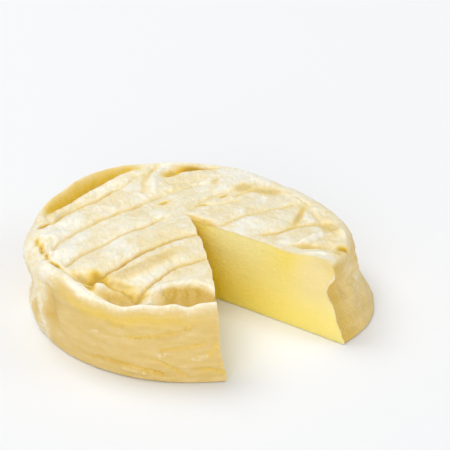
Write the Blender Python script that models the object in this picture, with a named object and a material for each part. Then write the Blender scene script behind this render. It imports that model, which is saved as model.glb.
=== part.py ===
"""A round washed-rind cheese with one wedge cut out, as one solid.

The solid is six grids sewn together: the top, the wall and the foot turned round an upright
axis at the tip of the missing wedge, the underside, and the two cuts. The wheel has slumped,
so the wall's top and its foot are two closed curves that differ from bearing to bearing. On
top lie the marks of the draining rack, the raised lip of the rind, and hollows and folds.

The tables are in millimetres, and bearings are in degrees anticlockwise from +X. The mesh is
made in metres.
"""

import math
from collections import namedtuple

import bmesh
import bpy
import numpy as np

MM = 0.001

# The wheel
HEIGHT = 30.0  # the plateau, above the board
TIP = np.array([-4.2, 7.3])  # where the two cuts meet
FIRST_CUT = -38.0  # bearing of the right-hand cut, seen from the tip
LAST_CUT = 278.4  # bearing of the left-hand cut, seen from the tip
FOOT_ROUND = 0.9
SINK_WIDTH = 34.0  # the outer part of the plateau that sinks towards the rim
MIDDLE = np.array([-0.58, -0.53, 0.0])  # the middle of the slumped wheel, which is the origin

# The rows and columns of the grids, before they are thinned
TURNS = 360
PLATEAU_COLUMNS = 64
LIP_COLUMNS = 20
SHOULDER_COLUMNS = 6
WALL_ROWS = 14
FOOT_ROWS = 2
TRIANGLES = 10400

# One place on the way round the wheel, by its bearing from the middle of the foot. rim is the
# radius of the wall's top and foot that of its base. crest is the height of the lip, inset how
# far it lies inside the rim, and drop how far the shoulder falls from it. crease is how far
# the crease lies inside the crest and depth how deep it is. sink is how far the plateau has
# sunk by the time it meets the lip, and belly how far the wall swells out halfway down.
Place = namedtuple("Place", "bearing rim foot crest inset drop crease depth sink belly")
ROUND_THE_WHEEL = (
    Place(0, 56.9, 65.0, 27.6, 6.0, 5.5, 4.0, 0.4, 2.2, -2.2),
    Place(20, 57.2, 64.6, 27.6, 7.0, 6.0, 4.0, 0.4, 2.2, -1.8),
    Place(40, 57.0, 64.2, 28.2, 8.0, 7.0, 4.0, 0.3, 1.6, -1.2),
    Place(58, 58.2, 63.9, 29.2, 7.5, 7.5, 4.0, 0.2, 0.8, -0.8),
    Place(75, 60.6, 63.7, 30.2, 5.0, 6.0, 4.0, 0.0, 0.2, -0.4),
    Place(88, 61.6, 63.7, 30.8, 3.4, 5.0, 4.0, 0.2, 0.0, 0.0),
    Place(100, 61.6, 63.7, 31.8, 2.6, 4.5, 3.4, 0.5, 0.0, 0.0),
    Place(112, 61.4, 63.7, 32.6, 2.2, 4.5, 2.6, 0.8, 0.0, 0.0),
    Place(126, 61.4, 63.7, 33.8, 2.0, 4.5, 3.4, 1.8, 0.0, 0.0),
    Place(140, 61.6, 63.7, 34.0, 1.8, 4.5, 3.6, 2.0, 0.0, 0.0),
    Place(155, 62.6, 63.7, 33.0, 1.8, 4.5, 3.4, 2.0, 0.0, 0.0),
    Place(168, 64.4, 63.6, 31.0, 2.2, 4.5, 3.2, 1.6, 0.0, 0.0),
    Place(182, 66.2, 63.6, 30.2, 2.8, 4.5, 3.0, 1.6, 0.2, 0.0),
    Place(197, 66.3, 63.8, 30.0, 3.2, 5.0, 3.0, 1.8, 0.4, 0.2),
    Place(213, 66.0, 64.3, 29.4, 3.6, 5.0, 3.4, 1.6, 0.6, 0.5),
    Place(230, 66.2, 64.6, 28.6, 4.0, 5.5, 3.8, 2.0, 1.0, 0.5),
    Place(246, 66.2, 64.8, 28.0, 4.4, 5.5, 4.2, 2.2, 1.4, 0.6),
    Place(262, 63.8, 64.7, 28.8, 4.0, 5.5, 4.6, 2.4, 1.6, 0.9),
    Place(276, 62.0, 63.9, 29.0, 3.4, 5.0, 4.4, 1.6, 1.2, 1.0),
    Place(300, 60.0, 64.0, 28.6, 4.0, 5.0, 4.0, 0.8, 1.0, -0.5),
    Place(326, 56.6, 63.2, 28.6, 4.6, 5.0, 4.0, 0.4, 1.2, -1.6),
    Place(342, 56.4, 65.2, 28.0, 5.6, 5.5, 4.0, 0.4, 2.0, -2.4),
)

# The marks of the draining rack, from their left-hand end. bow is how far the middle strays to
# the right of a straight run, and bead how high the rind is pushed up on that side.
Groove = namedtuple("Groove", "start end bow half depth bead")
GROOVES = (
    Groove(start=(-58, 1), end=(-32, 37), bow=-1.7, half=1.3, depth=1.5, bead=0.5),
    Groove(start=(-52, -10), end=(-16, 30), bow=-1.3, half=1.3, depth=1.4, bead=0.5),
    Groove(start=(-46, -28), end=(-12, 11), bow=-1.8, half=1.3, depth=1.5, bead=0.6),
    Groove(start=(-35, -39), end=(0, -5), bow=-2.0, half=1.5, depth=2.0, bead=0.8),
    Groove(start=(-23, -57), end=(2, -26), bow=-1.5, half=1.4, depth=1.5, bead=0.7),
    Groove(start=(10, 4), end=(38, 25), bow=-0.4, half=1.3, depth=1.1, bead=0.4),
    Groove(start=(22, -6), end=(50, 11), bow=-1.6, half=1.5, depth=1.6, bead=0.8),
)

# Soft oval hills, and hollows where the rise is negative. bearing is the way the long half lies.
Mound = namedtuple("Mound", "at long_half short_half bearing rise")
MOUNDS = (
    Mound(at=(-6, 52), long_half=10.0, short_half=2.6, bearing=6, rise=-3.6),
    Mound(at=(-19, 46), long_half=8.0, short_half=1.6, bearing=80, rise=-1.4),
    Mound(at=(-16, 47), long_half=9.0, short_half=1.8, bearing=74, rise=1.2),
    Mound(at=(3, 48), long_half=9.0, short_half=2.0, bearing=92, rise=0.9),
    Mound(at=(-37, -41), long_half=5.0, short_half=3.0, bearing=-58, rise=-3.6),
    Mound(at=(-5, -53), long_half=11.0, short_half=4.0, bearing=4, rise=-2.6),
    Mound(at=(-26, -51), long_half=5.0, short_half=2.4, bearing=10, rise=1.4),
    Mound(at=(-58.5, 1), long_half=4.0, short_half=1.6, bearing=80, rise=-1.8),
    Mound(at=(-58, -17), long_half=6.0, short_half=1.4, bearing=-70, rise=-1.4),
    Mound(at=(36, 12), long_half=12.0, short_half=2.2, bearing=78, rise=-1.6),
    Mound(at=(42, -15), long_half=6.0, short_half=1.8, bearing=38, rise=-1.6),
    Mound(at=(44, -11), long_half=6.0, short_half=2.0, bearing=38, rise=0.9),
    Mound(at=(52, -18), long_half=3.0, short_half=2.0, bearing=-60, rise=-2.6),
    Mound(at=(10, 30), long_half=12.0, short_half=2.0, bearing=40, rise=-0.9),
    Mound(at=(-50, -18), long_half=7.0, short_half=4.0, bearing=48, rise=0.9),
    Mound(at=(-51, 5), long_half=7.0, short_half=4.0, bearing=48, rise=0.8),
    Mound(at=(-20, 6), long_half=22.0, short_half=5.0, bearing=49, rise=0.6),
)

# The paste has bulged out of the left-hand cut, and its foot has crept out further
CUT_BULGE = 2.0
CUT_CREEP = 2.6
CREEP_HEIGHT = 9.0
CUT_SPREAD = 14.0  # degrees over which the bulge fades into the wheel


def smooth(value):
    """0 below 0, 1 above 1 and an S between them."""
    share = np.clip(value, 0.0, 1.0)
    return share * share * (3.0 - 2.0 * share)


def round_the_wheel(field, bearings):
    """One column of the table, run smoothly through its places."""
    knots = np.array([place.bearing for place in ROUND_THE_WHEEL], float)
    values = np.array([getattr(place, field) for place in ROUND_THE_WHEEL], float)
    knots = np.concatenate([knots[-2:] - 360.0, knots, knots[:3] + 360.0])
    values = np.concatenate([values[-2:], values, values[:3]])
    bearings = np.mod(bearings, 360.0)
    left = np.searchsorted(knots, bearings, side="right") - 1
    slopes = np.gradient(values, knots)
    gap = knots[left + 1] - knots[left]
    share = (bearings - knots[left]) / gap
    start = values[left] * (1.0 + 2.0 * share) * (1.0 - share) ** 2
    end = values[left + 1] * (3.0 - 2.0 * share) * share**2
    lean = slopes[left] * share * (1.0 - share) ** 2
    lean_end = slopes[left + 1] * share**2 * (1.0 - share)
    return start + end + gap * (lean - lean_end)


def reach(field, bearings):
    """How far a closed curve of the table lies from the wedge's tip, along each bearing."""
    around = np.linspace(-360.0, 720.0, 3241)
    radius = round_the_wheel(field, around)
    x = radius * np.cos(np.radians(around)) - TIP[0]
    y = radius * np.sin(np.radians(around)) - TIP[1]
    seen_from_tip = np.degrees(np.unwrap(np.arctan2(y, x)))
    seen_from_tip -= 360.0 * round((seen_from_tip[1620] - around[1620]) / 360.0)
    distance = np.interp(bearings, seen_from_tip, np.hypot(x, y))
    middle_bearing = np.interp(bearings, seen_from_tip, around)
    return distance, middle_bearing


def groove_relief(x, y, groove):
    """A bowed furrow, with a low bead of rind along its right-hand side."""
    start = np.array(groove.start, float)
    run = np.array(groove.end, float) - start
    length = math.hypot(*run)
    along = ((x - start[0]) * run[0] + (y - start[1]) * run[1]) / length**2
    aside = ((x - start[0]) * run[1] - (y - start[1]) * run[0]) / length
    aside = aside - 4.0 * groove.bow * along * (1.0 - along)
    fade = smooth(along * 8.0 + 0.5) * smooth((1.0 - along) * 6.0 + 0.5)
    furrow = -groove.depth * np.exp(-((aside / groove.half) ** 2))
    bead = groove.bead * np.exp(-(((aside - 2.4 * groove.half) / (1.7 * groove.half)) ** 2))
    return fade * (furrow + bead)


def mound_relief(x, y, mound):
    """A soft oval hill, or a hollow where its rise is negative."""
    turn = math.radians(mound.bearing)
    along = (x - mound.at[0]) * math.cos(turn) + (y - mound.at[1]) * math.sin(turn)
    aside = (y - mound.at[1]) * math.cos(turn) - (x - mound.at[0]) * math.sin(turn)
    return mound.rise * np.exp(-((along / mound.long_half) ** 2) - (aside / mound.short_half) ** 2)


def top_relief(x, y):
    """The height of the rack's marks, hills and hollows over the plain top."""
    height = np.zeros_like(x)
    for groove in GROOVES:
        height += groove_relief(x, y, groove)
    for mound in MOUNDS:
        height += mound_relief(x, y, mound)
    return height


def on_the_board(distance, bearings):
    """The plan position a distance out from the wedge's tip."""
    x = TIP[0] + distance * np.cos(np.radians(bearings))
    y = TIP[1] + distance * np.sin(np.radians(bearings))
    return x, y


def top_side(bearings):
    """The top from the tip out to the top of the wall, as columns of points."""
    rim, middle = reach("rim", bearings)
    table = {field: round_the_wheel(field, middle) for field in Place._fields[3:9]}
    crest_at = rim - table["inset"]
    crease_at = crest_at - table["crease"]
    lip_start = crease_at - 4.0
    plateau = np.linspace(0.0, 1.0, PLATEAU_COLUMNS)[:-1, None] * lip_start
    lip_share = np.linspace(0.0, 1.0, LIP_COLUMNS)[:-1, None]
    lip = lip_start + lip_share * (crest_at - lip_start)
    turn = np.linspace(0.0, math.pi / 2, SHOULDER_COLUMNS)[:, None]
    shoulder = crest_at + table["inset"] * np.sin(turn)
    distance = np.concatenate([plateau, lip, shoulder])

    sinking = smooth(1.0 - (crease_at - distance) / SINK_WIDTH) ** 2
    flat = HEIGHT - table["sink"] * sinking
    crease_half = np.where(distance < crease_at, 1.6, 0.6 * table["crease"])
    dip = table["depth"] * np.exp(-(((distance - crease_at) / crease_half) ** 2))
    rising = smooth((distance - crease_at) / table["crease"])
    height = (flat - dip) * (1.0 - rising) + table["crest"] * rising
    x, y = on_the_board(distance, bearings)
    height = height + top_relief(x, y) * smooth((rim - distance) / 4.0)
    height[-SHOULDER_COLUMNS:] -= table["drop"] * (1.0 - np.cos(turn))
    height[0] = height[0].mean()
    return np.stack([x, y, height], axis=-1)


def wall_side(bearings, brow):
    """The wall from its top down to the board, as rows of points."""
    rim, middle = reach("rim", bearings)
    foot = reach("foot", bearings)[0]
    belly = round_the_wheel("belly", middle)
    share = np.linspace(0.0, 1.0, WALL_ROWS)[:, None]
    distance = rim + (foot - rim) * share + belly * np.sin(math.pi * share)
    height = brow + share * (FOOT_ROUND - brow)
    turn = np.linspace(0.0, math.pi / 2, FOOT_ROWS + 1)[1:, None]
    distance = np.concatenate([distance, foot - FOOT_ROUND * (1.0 - np.cos(turn))])
    under = FOOT_ROUND * (1.0 - np.sin(turn)) * np.ones_like(brow)
    height = np.concatenate([height, under])
    x, y = on_the_board(distance, bearings)
    return np.stack([x, y, height], axis=-1)


def under_side(top, wall):
    """The underside, whose columns lie below those of the top."""
    edge = wall[-1]
    middle = np.array([TIP[0], TIP[1], 0.0])
    reached = np.hypot(top[..., 0] - TIP[0], top[..., 1] - TIP[1])
    share = (reached / reached[-1])[..., None]
    return middle + share * (edge - middle)


def cut_side(top_edge, wall_edge, under_edge):
    """One cut, filled between its four edges, as columns out from the tip and rows down."""
    out = np.linspace(0.0, 1.0, len(top_edge))[:, None, None]
    down = np.linspace(0.0, 1.0, len(wall_edge))[None, :, None]
    tip_edge = top_edge[0] + down[0] * (under_edge[0] - top_edge[0])
    sides = (1.0 - down) * top_edge[:, None] + down * under_edge[:, None]
    ends = (1.0 - out) * tip_edge[None] + out * wall_edge[None]
    corner_in = (1.0 - down) * top_edge[0] + down * under_edge[0]
    corner_out = (1.0 - down) * top_edge[-1] + down * under_edge[-1]
    return sides + ends - (1.0 - out) * corner_in - out * corner_out


def swell_the_cut(points):
    """Moves the paste by the left-hand cut sideways, out into the notch."""
    away = points[..., :2] - TIP
    distance = np.hypot(away[..., 0], away[..., 1])
    bearings = np.mod(np.degrees(np.arctan2(away[..., 1], away[..., 0])) + 60.0, 360.0) - 60.0
    share = distance / 70.0
    height = np.clip(points[..., 2] / HEIGHT, 0.0, 1.0)
    belly = CUT_BULGE * np.sin(math.pi * np.clip(share, 0.0, 1.0)) * smooth(height)
    creep = CUT_CREEP * share**3 * smooth(1.0 - points[..., 2] / CREEP_HEIGHT)
    fade = smooth(1.0 - (LAST_CUT - bearings) / CUT_SPREAD)
    across = math.radians(LAST_CUT + 90.0)
    moved = points.copy()
    moved[..., 0] += (belly + creep) * fade * math.cos(across)
    moved[..., 1] += (belly + creep) * fade * math.sin(across)
    return moved


def add_grid(sheet, points, flipped):
    """Adds a grid of points to the mesh, with its faces outwards."""
    rows, columns = points.shape[:2]
    corners = [sheet.verts.new(point) for point in (points.reshape(-1, 3) - MIDDLE) * MM]
    for row in range(rows - 1):
        for column in range(columns - 1):
            here = row * columns + column
            face = [here, here + columns, here + columns + 1, here + 1]
            if flipped:
                face.reverse()
            sheet.faces.new([corners[number] for number in face])


def build_wheel():
    """Makes the six sides and sews them into one closed mesh."""
    bearings = np.linspace(FIRST_CUT, LAST_CUT, TURNS + 1)
    top = top_side(bearings)
    wall = wall_side(bearings, top[-1, :, 2])
    under = under_side(top, wall)
    first = cut_side(top[:, 0], wall[:, 0], under[:, 0])
    last = cut_side(top[:, -1], wall[:, -1], under[:, -1])
    sheet = bmesh.new()
    add_grid(sheet, swell_the_cut(top), False)
    add_grid(sheet, swell_the_cut(wall), False)
    add_grid(sheet, swell_the_cut(under), True)
    add_grid(sheet, swell_the_cut(first), True)
    add_grid(sheet, swell_the_cut(last), False)
    bmesh.ops.remove_doubles(sheet, verts=sheet.verts[:], dist=0.01 * MM)
    bmesh.ops.recalc_face_normals(sheet, faces=sheet.faces[:])
    mesh = bpy.data.meshes.new("cheese_wheel")
    sheet.to_mesh(mesh)
    sheet.free()
    return mesh


def rind_material():
    """Moist cream and straw rind."""
    material = bpy.data.materials.new("washed_rind")
    material.use_nodes = True
    shader = material.node_tree.nodes["Principled BSDF"]
    shader.inputs["Base Color"].default_value = (0.86, 0.72, 0.42, 1.0)
    shader.inputs["Roughness"].default_value = 0.45
    shader.inputs["Metallic"].default_value = 0.0
    return material


def main():
    for thing in list(bpy.data.objects):
        bpy.data.objects.remove(thing)
    mesh = build_wheel()
    mesh.materials.append(rind_material())
    wheel = bpy.data.objects.new("cheese_wheel", mesh)
    bpy.context.scene.collection.objects.link(wheel)
    thinning = wheel.modifiers.new("thinning", "DECIMATE")
    thinning.ratio = TRIANGLES / (2.0 * len(mesh.polygons))


main()
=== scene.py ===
"""A soft washed-rind cheese wheel with one wedge cut out, on a pale board in soft light.

The wheel is one skin. Its top, lip, wall and foot are a profile turned round an upright axis
at the tip of the missing wedge, the two cuts are filled between the ends of that skin, and the
underside closes it. The top's relief lifts it straight up, and the wall's moves it along its
own outward direction. Each point also carries the amounts of gold, bloom, side rind and paste
that colour it, and of the painted shade and painted highlight laid into that colour.

Sizes are in millimetres until the mesh is made. Bearings are in degrees anticlockwise from +X:
those called around are seen from the middle of the foot, the others from the wedge's tip.
"""

from __future__ import annotations

import logging
import math
from dataclasses import dataclass, field
from enum import Enum
from functools import cached_property

import bpy
import numpy as np
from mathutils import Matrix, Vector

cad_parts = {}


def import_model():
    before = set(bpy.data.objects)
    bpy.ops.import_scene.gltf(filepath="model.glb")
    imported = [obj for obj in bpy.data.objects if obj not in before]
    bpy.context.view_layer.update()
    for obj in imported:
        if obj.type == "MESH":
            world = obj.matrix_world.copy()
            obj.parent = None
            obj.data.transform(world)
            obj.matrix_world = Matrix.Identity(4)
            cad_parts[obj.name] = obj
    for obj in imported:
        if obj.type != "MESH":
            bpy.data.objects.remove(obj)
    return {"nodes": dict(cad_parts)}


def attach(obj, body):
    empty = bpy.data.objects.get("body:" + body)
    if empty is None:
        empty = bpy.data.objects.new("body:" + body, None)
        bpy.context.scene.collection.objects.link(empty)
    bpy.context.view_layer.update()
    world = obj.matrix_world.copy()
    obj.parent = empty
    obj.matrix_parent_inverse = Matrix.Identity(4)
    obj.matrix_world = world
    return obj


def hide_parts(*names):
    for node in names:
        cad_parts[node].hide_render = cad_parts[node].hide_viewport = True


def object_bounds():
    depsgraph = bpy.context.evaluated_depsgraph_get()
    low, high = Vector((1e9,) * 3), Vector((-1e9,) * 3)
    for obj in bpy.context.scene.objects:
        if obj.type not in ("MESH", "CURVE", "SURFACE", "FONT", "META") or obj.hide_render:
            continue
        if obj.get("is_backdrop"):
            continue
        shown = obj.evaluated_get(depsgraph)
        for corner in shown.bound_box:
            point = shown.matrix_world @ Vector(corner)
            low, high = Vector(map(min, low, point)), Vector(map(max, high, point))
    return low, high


MM = 0.001
LOG = logging.getLogger("cheese")

# The height of the plateau above the board.
PLATEAU = 30.0
# Less than the length of any outward direction.
TINY = 1e-9

Grid = np.ndarray
Socket = bpy.types.NodeSocket
Triple = tuple[float, float, float]
Span = tuple[float, float]


class Mask(Enum):
    """What a point of the skin carries for its colour, each from 0 to 1."""

    # Golden rind, and the gold of painted shade under the front lip, on the back lip and by the cut's
    # end.
    GOLD = "gold"
    # Painted shade in the hollows, creases, slits, pits and tear of the top, and on the wall.
    HOLLOW = "hollow"
    # Bloom, and the painted highlights on the front lip's crest and on the right-hand shoulder.
    BLOOM = "bloom"
    SIDE = "side"
    PASTE = "paste"
    # Painted shade on the cut paste, a deeper yellow where the notch lies in shade.
    DEEP = "deep"


Masks = dict[Mask, Grid]


# ---------------------------------------------------------------------------- the curves


def smooth(value: Grid) -> Grid:
    """0 below 0, 1 above 1, and three times its square less twice its cube between.

    Args:
        value: Any numbers.

    Returns:
        The same number of values, each from 0 to 1.
    """
    share = np.clip(value, 0.0, 1.0)
    return share * share * (3.0 - 2.0 * share)


def bump(value: Grid) -> Grid:
    """A bell: e to the power of minus the square of the value."""
    return np.exp(-(value**2))


def most(*masks: Grid) -> Grid:
    """The highest of several masks at each point."""
    return np.maximum.reduce(np.broadcast_arrays(*masks))


def wrapped(bearings: Grid) -> Grid:
    """The same bearings, counted from -180 to 180."""
    return np.mod(bearings + 180.0, 360.0) - 180.0


def off_plane(distance: Grid, behind: Grid) -> Grid:
    """How far points lie off the plane of a cut, for bearings up to a right angle behind it."""
    return distance * np.sin(np.radians(np.clip(behind, 0.0, 90.0)))


def beside(x: Grid, y: Grid, start: Span, end: Span, bow: float) -> tuple[Grid, Grid]:
    """Where points lie along a line that is bowed as a parabola.

    Args:
        x: Positions across.
        y: Positions in depth or up.
        start: Where the line starts.
        end: Where it ends.
        bow: How far its middle strays to the right of a straight run.

    Returns:
        How far along each point lies, from 0 at the start to 1 at the end, and how far to the
        right of the line.
    """
    run = (end[0] - start[0], end[1] - start[1])
    length = math.hypot(*run)
    along = ((x - start[0]) * run[0] + (y - start[1]) * run[1]) / length**2
    aside = ((x - start[0]) * run[1] - (y - start[1]) * run[0]) / length
    return along, aside - 4.0 * bow * along * (1.0 - along)


@dataclass(frozen=True)
class Spot:
    """A place among bearings, heights or distances, with an amount that fades to both sides."""

    at: float
    half: float
    amount: float = 1.0

    def share(self, value: Grid) -> Grid:
        """How much of it there is at each value: a bell."""
        return self.amount * bump((value - self.at) / self.half)


@dataclass(frozen=True)
class Ease:
    """An amount that sets in past its start over a length, or below its start if that is negative."""

    start: float
    length: float
    amount: float = 1.0

    def share(self, value: Grid) -> Grid:
        """How much of it there is at each value: an S."""
        return self.amount * smooth((value - self.start) / self.length)


@dataclass(frozen=True)
class Stretch:
    """A stretch of bearings, heights or distances with an amount that is eased at either end."""

    start: float
    ease_in: float
    end: float
    ease_out: float
    amount: float = 1.0

    def share(self, value: Grid) -> Grid:
        """How much of it there is at each value."""
        risen = smooth((value - self.start) / self.ease_in)
        return self.amount * risen * smooth((self.end - value) / self.ease_out)


@dataclass(frozen=True)
class Crumple:
    """A kind of unevenness: smooth random fields that are the same on every run.

    seed gives each kind its own fields. strength is how far they stray, cell the size of their
    cells along x, y and z, and layers how many there are, each with half the cell size and half
    the strength of the last.
    """

    seed: int
    strength: float
    cell: Triple
    layers: int = 3
    cells: int = 32
    layer_shift: float = 17.3

    def one_layer(self, points: Grid, cell: Grid, block: Grid) -> Grid:
        """A block's random numbers, run smoothly from cell to cell.

        Each point's place between the eight nearest cell corners, eased with the S of smooth,
        weights the numbers at those corners.

        Args:
            points: Positions, with x, y and z last.
            cell: The size of a cell along x, y and z.
            block: The random numbers.

        Returns:
            One number from -1 to 1 for each point.
        """
        place = points / cell
        corner = np.floor(place).astype(int)
        ease = smooth(place - corner)
        total = np.zeros(points.shape[:-1])
        for step in range(8):
            offset = np.array([step & 1, step >> 1 & 1, step >> 2 & 1])
            weight = np.prod(np.where(offset, ease, 1.0 - ease), axis=-1)
            at = (corner + offset) % self.cells
            total += weight * block[at[..., 0], at[..., 1], at[..., 2]]
        return total

    def at(self, points: Grid) -> Grid:
        """The sum of the fields.

        Args:
            points: Positions, with x, y and z last.

        Returns:
            One number for each point, mostly from minus the strength to the strength.
        """
        block = np.random.default_rng(self.seed).uniform(-1.0, 1.0, (self.cells,) * 3)
        total = np.zeros(points.shape[:-1])
        for layer in range(self.layers):
            scale = 0.5**layer
            shifted = points + self.layer_shift * layer
            total += scale * self.one_layer(shifted, np.array(self.cell) * scale, block)
        return self.strength * total


# ---------------------------------------------------------------------------- the tables


@dataclass(frozen=True)
class Place:
    """The section through the rim at one bearing from the middle of the foot.

    rim and foot are the radii of the wall's top and base. crest is the height of the lip,
    inset how far it lies inside the rim, and drop how far the shoulder falls from it. crease
    is how far the crease lies inside the crest, and depth how deep it is. sink is how far the
    plateau has sunk where it meets the lip, and belly how far the wall swells out halfway down.
    """

    bearing: float
    rim: float
    foot: float
    crest: float
    inset: float
    drop: float
    crease: float
    depth: float
    sink: float
    belly: float


ROUND_THE_WHEEL: tuple[Place, ...] = (
    Place(0, 56.9, 65.0, 27.6, 6.0, 5.5, 4.0, 0.4, 2.2, -1.6),
    Place(20, 57.2, 64.6, 27.6, 7.0, 6.0, 4.0, 0.4, 2.2, -1.8),
    Place(40, 57.0, 64.2, 28.2, 8.0, 7.0, 4.0, 0.3, 1.6, -1.2),
    Place(58, 58.2, 63.9, 29.2, 7.5, 7.5, 4.0, 0.2, 0.8, -0.8),
    Place(75, 60.2, 63.7, 29.8, 4.0, 5.5, 4.0, 0.0, 0.2, -0.4),
    Place(88, 61.0, 63.7, 30.2, 2.4, 4.5, 3.6, 0.0, 0.2, 0.0),
    Place(100, 61.2, 63.7, 31.3, 1.8, 4.5, 3.0, 0.2, -0.2, 0.0),
    Place(112, 61.6, 63.7, 32.2, 1.6, 4.5, 2.0, 0.2, -1.4, 0.0),
    Place(124, 61.8, 63.7, 33.3, 1.6, 4.5, 1.6, 0.8, -1.2, 0.0),
    Place(134, 61.6, 63.7, 33.6, 1.6, 4.5, 2.6, 1.8, -0.4, 0.0),
    Place(146, 61.8, 63.7, 33.5, 1.8, 4.5, 3.2, 2.2, 0.0, 0.0),
    Place(157, 62.6, 63.7, 32.6, 1.8, 4.5, 3.2, 2.0, 0.0, 0.0),
    Place(168, 64.4, 63.6, 31.0, 2.0, 4.5, 2.4, 0.6, 0.0, 0.0),
    Place(182, 66.3, 63.6, 30.0, 7.5, 7.0, 3.4, 0.0, 0.0, 0.0),
    Place(195, 66.3, 63.8, 29.4, 7.5, 6.5, 1.6, 0.0, 0.2, 0.2),
    Place(207, 65.8, 64.2, 29.0, 5.0, 4.8, 1.4, 0.2, 0.4, 0.4),
    Place(224, 65.6, 64.6, 28.8, 4.4, 4.4, 1.8, 0.5, 0.6, 0.3),
    Place(236, 66.4, 64.8, 27.6, 3.8, 4.0, 2.4, 0.3, 1.0, 0.0),
    Place(246, 66.5, 65.0, 27.5, 3.4, 4.0, 3.2, 0.9, 1.4, 0.2),
    Place(255, 65.0, 64.9, 28.6, 3.6, 4.0, 2.4, 0.6, 1.2, 0.6),
    Place(265, 63.4, 64.6, 29.4, 3.6, 4.4, 2.0, 0.5, 1.0, 0.9),
    Place(277, 62.0, 63.9, 29.8, 3.6, 5.0, 2.0, 0.5, 0.8, 1.0),
    Place(300, 60.0, 64.0, 28.6, 4.0, 5.0, 4.0, 0.8, 1.0, -0.5),
    Place(326, 57.6, 63.2, 29.0, 2.6, 4.0, 4.0, 0.2, 0.8, -2.6),
    Place(342, 56.4, 65.2, 28.2, 4.6, 5.5, 4.0, 0.4, 1.8, -2.2),
)


@dataclass(frozen=True)
class Groove:
    """A mark of the draining rack across the top, from its left-hand end.

    bow is how far the middle strays to the right of a straight run, and sway how far the first
    half strays as the second half strays the other way. half is the half-width of the slit,
    depth how deep it is, dip how far the rind beside it sinks with it, and gold how golden its
    bottom is and how much painted shade the slit gets.
    """

    start: Span
    end: Span
    bow: float
    sway: float
    half: float
    depth: float
    dip: float
    gold: float


GROOVES: tuple[Groove, ...] = (
    Groove((-56, 4), (-32, 37), -2.3, -1.2, 0.9, 0.8, 1.1, 0.6),
    Groove((-54, -20), (-49, -7), -0.8, 0.0, 0.6, 0.6, 0.5, 0.4),
    Groove((-50, -8), (-14, 33), -0.8, -0.9, 0.8, 0.7, 1.1, 0.45),
    Groove((-48, -31), (-12, 11), -2.6, -1.0, 0.7, 0.8, 1.2, 0.55),
    Groove((-35, -38), (0, -4), -3.1, 0.6, 0.7, 1.3, 1.4, 1.0),
    Groove((-22.2, -54), (2.5, -24), -3.65, 0.0, 0.7, 1.0, 1.3, 0.7),
    Groove((7, 2), (38, 27), -0.8, 0.0, 0.7, 0.5, 0.7, 0.4),
    Groove((22, -6), (50, 11), -0.9, 1.2, 0.9, 0.8, 1.0, 0.65),
    Groove((-54, 13), (-33, 40), -1.0, 0.0, 0.8, 0.2, 0.6, 0.1),
    Groove((-34, 34), (-21, 49), -0.8, 0.6, 0.6, 0.4, 0.4, 0.3),
    Groove((-2, 19), (19, 43), -1.0, -1.4, 0.9, 0.3, 0.4, 0.35),
    Groove((12, 28), (29, 41), -1.0, 0.0, 0.9, 0.3, 0.45, 0.4),
    Groove((2, 21), (15, 25), 1.0, 0.4, 0.6, 0.4, 0.3, 0.3),
    Groove((-15, 34), (0, 41), 0.8, 0.8, 1.2, 0.25, 0.3, 0.2),
    Groove((-14, 40), (-2, 46), 0.6, -0.6, 1.1, 0.2, 0.3, 0.2),
    Groove((-21, 28), (-9, 36), 0.8, 0.6, 0.7, 0.3, 0.4, 0.2),
    Groove((33, 38), (43, 24), 0.8, 0.0, 0.8, 0.2, 0.3, 0.2),
    Groove((43, 21), (49, 2), 0.6, 0.8, 0.8, 0.3, 0.3, 0.2),
    Groove((-23.5, 31), (-18.5, 57), -1.6, 0.0, 1.0, 0.4, 0.4, 0.4),
    Groove((-35.5, -41.5), (-21.0, -50.5), 1.4, 0.0, 1.2, 1.1, 0.5, 0.9),
    Groove((-54, -22), (-64, -25.8), 0.4, 0.0, 0.7, 0.9, 0.9, 0.25),
)


@dataclass(frozen=True)
class Mound:
    """A soft oval hill on the top, or a hollow where the rise is negative.

    bearing is the way the long half lies. square makes the sides steeper and the top flatter,
    gold is how golden the mound or hollow is and how much painted shade its middle gets, and
    white how much bloom it carries, a painted highlight on some bumps of the right-hand shoulder.
    """

    at: Span
    long_half: float
    short_half: float
    bearing: float
    rise: float
    square: float = 1.0
    gold: float = 0.0
    white: float = 0.0


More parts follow.
